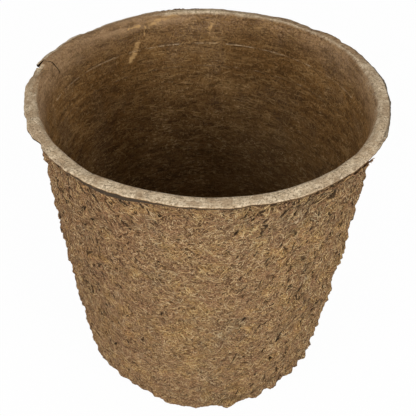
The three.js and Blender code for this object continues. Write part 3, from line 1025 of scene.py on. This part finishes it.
def fibreTree():
    v = fields(strandValues)
    g, feed, out = newTree("looseFibres", "Surface", {**everyFibre, **fibreValues["long_fibres"]})
    surface, seed = feed["Surface"], feed["Seed"]
    place = g.first("GeometryNodeInputPosition")
    x, y, z = g.split(place)
    share = g.times(g.ease(g.named("rough"), 0.35, 0.9), g.calc("GREATER_THAN", z, feed["Above"]))
    spread = g.add("GeometryNodeDistributePointsOnFaces", {
        "Mesh": surface, "Density": g.times(share, feed["Per Square Metre"]), "Seed": seed}).outputs
    strand = g.first("GeometryNodeCurvePrimitiveLine", {"Start": (-0.5, 0, 0), "End": (0.5, 0, 0)})
    strand = g.first("GeometryNodeResampleCurve", {"Curve": strand, "Count": v.points})

    # each fibre leans one way on each side of the pot, give or take its own swing
    lean = g.times(g.calc("COSINE", g.calc("ARCTAN2", y, x)), feltLook["lean"])
    flat = g.vector("NORMALIZE", g.joined(g.times(y, -1.0), x))
    heading = g.vector("ADD", g.scaled(flat, g.calc("COSINE", lean)), g.joined(z=g.calc("SINE", lean)))
    turn = g.first("FunctionNodeAlignRotationToVector", {"Rotation": spread["Rotation"], "Vector": heading},
                   axis="X", pivot_axis="Z")
    spin = g.joined(z=g.chance(g.times(feed["Swing"], -1.0), feed["Swing"], seed))
    spin = g.first("FunctionNodeEulerToRotation", {0: spin})
    turn = g.first("FunctionNodeRotateRotation", {0: turn, 1: spin}, rotation_space="LOCAL")
    size = g.times(g.chance(*v.sizes, g.plus(seed, 1)), feed["Length"])
    laid = g.first("GeometryNodeInstanceOnPoints", {
        "Points": spread[0], "Instance": strand, "Rotation": turn, "Scale": size})
    tone = g.chance(feed["Tone From"], feed["Tone To"], g.plus(seed, 2))
    laid = g.first("GeometryNodeRealizeInstances", {0: g.store(laid, "tone", tone, domain="INSTANCE")})

    # curl each fibre, drop it on the felt, let it weave in and out a little, and keep it off the ground
    laid = g.moved(laid, Offset=g.drift(place, v.curlSize, feed["Curl"]))
    nearest = g.add("GeometryNodeProximity", {"Geometry": surface}, target_element="FACES")
    feeds = {"Mesh": surface, "Value": g.first("GeometryNodeInputNormal")}
    facing = g.first("GeometryNodeSampleNearestSurface", feeds, data_type="FLOAT_VECTOR")
    rise = g.times(g.minus(g.grain(place, v.weave, 1.0), v.sunk), g.times(feed["Lift"], 2.0))
    laid = g.moved(laid, Position=nearest.outputs["Position"], Offset=g.scaled(facing, rise))
    laid = g.moved(laid, Position=g.joined(x, y, g.calc("MAXIMUM", z, v.lowest)))

    along = g.first("GeometryNodeSplineParameter")
    taper = g.calc("SINE", g.times(g.calc("MULTIPLY_ADD", along, 0.8, 0.1), math.pi))
    thick = g.times(taper, g.times(feed["Thickness"], 0.5))
    ring = g.first("GeometryNodeCurvePrimitiveCircle", {"Resolution": v.sides, "Radius": 1.0})
    made = g.first("GeometryNodeCurveToMesh", {
        "Curve": laid, "Profile Curve": ring, "Scale": thick, "Fill Caps": True})
    return g.finish(made, feed, out)


laying = fibreTree()
looseFinish, looseGraph, looseShader = newFinish("loose fibre")
looseTone = looseGraph.toneRamp(carriedValue(looseGraph, "tone"), strandValues["tones"])
looseGraph.link(looseTone, looseShader.inputs["Base Color"])


def layFibres(name, mesh, values):
    return runTree(newPiece(name, mesh), laying, {**everyFibre, **values, "Finish": looseFinish})


def shredStrip(name, strip):
    angles = np.linspace(*strip["angles"], 24)
    torn = strip["ragged"] * wave(37 * angles) * wave(13 * angles)
    points = []
    for i, (radius, height) in enumerate(strip["edges"]):
        points += [polar(angle, radius, height + up) for angle, up in zip(angles, torn * i)]
    mesh = bpy.data.meshes.new(name)
    count = len(angles)
    mesh.from_pydata(inMetres(points), [], [(i, i + 1, i + 1 + count, i + count) for i in range(count - 1)])
    carry(mesh, "rough", np.ones(count * 2))
    dryOut(mesh)
    return mesh


looseFibres = [layFibres(name, feltWall.data.copy(), values) for name, values in fibreValues.items()]
for name, strip in shredValues.items():
    looseFibres.append(layFibres(name, shredStrip(name, strip), strip["fibres"]))


# studio

studio = {
    "cameraAt": (0.0, -0.4060, 0.4420), "aimAt": (0.00174, 0.00488, 0.1007), "roll": 1.5, "lens": 73.76,
    "ambient": 0.45, "keys": [((-1.0, -1.1, 0.7), 12.9), ((1.0, -1.1, 0.7), 14.2)], "keySize": 0.9,
    "keyAim": (0, 0, 0.1), "floorSide": 6.0, "floorWhite": 0.97, "floorColour": (0.95, 0.95, 0.95, 1),
}
white = (1, 1, 1, 1)


def aimed(spot, target):
    look = (Vector(target) - Vector(spot)).to_track_quat("-Z", "Y").to_matrix().to_4x4()
    return Matrix.Translation(Vector(spot)) @ look


def makeCamera():
    data = bpy.data.cameras.new("camera")
    data.lens, data.sensor_width = studio["lens"], 36.0
    data.clip_start, data.clip_end = 0.01, 50
    camera = newPiece("camera", data)
    roll = Matrix.Rotation(math.radians(studio["roll"]), 4, "Z")
    camera.matrix_world = aimed(studio["cameraAt"], studio["aimAt"]) @ roll
    bpy.context.scene.camera = camera


def whiteToCamera(g, lit, kind, strength, output):
    path = g.add("ShaderNodeLightPath").outputs
    seen = g.strongest([path["Is Camera Ray"], path["Is Glossy Ray"], path["Is Transmission Ray"]])
    plain = g.first(kind, {"Color": white, "Strength": 1.0})
    mixed = g.first("ShaderNodeMixShader", {0: g.times(seen, strength), 1: lit, 2: plain})
    g.link(mixed, g.tree.nodes[output].inputs["Surface"])


def makeStudio():
    world = bpy.data.worlds.new("studio")
    bpy.context.scene.world = world
    world.use_nodes = True
    g = Graph(world.node_tree)
    ambient = g.tree.nodes["Background"]
    ambient.inputs["Color"].default_value = white
    ambient.inputs["Strength"].default_value = studio["ambient"]
    whiteToCamera(g, ambient.outputs[0], "ShaderNodeBackground", 1.0, "World Output")

    for spot, power in studio["keys"]:
        data = bpy.data.lights.new("softbox", "AREA")
        data.shape, data.size, data.energy = "DISK", studio["keySize"], power
        newPiece("softbox", data).matrix_world = aimed(spot, studio["keyAim"])

    half = studio["floorSide"] / 2
    corners = [(-half, -half, 0), (half, -half, 0), (half, half, 0), (-half, half, 0)]
    mesh = bpy.data.meshes.new("floor")
    mesh.from_pydata(corners, [], [(0, 1, 2, 3)])
    material, g, shader = newFinish("pale floor", 0.9, 0.1)
    shader.inputs["Base Color"].default_value = studio["floorColour"]
    whiteToCamera(g, shader.outputs[0], "ShaderNodeEmission", studio["floorWhite"], "Material Output")
    mesh.materials.append(material)
    newPiece("floor", mesh)


makeCamera()
makeStudio()
bpy.context.scene.view_settings.view_transform = "Standard"
print("studio set")

for piece in [feltWall, pressedWall] + looseFibres:
    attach(piece, "root")
    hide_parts("moulded_pot")
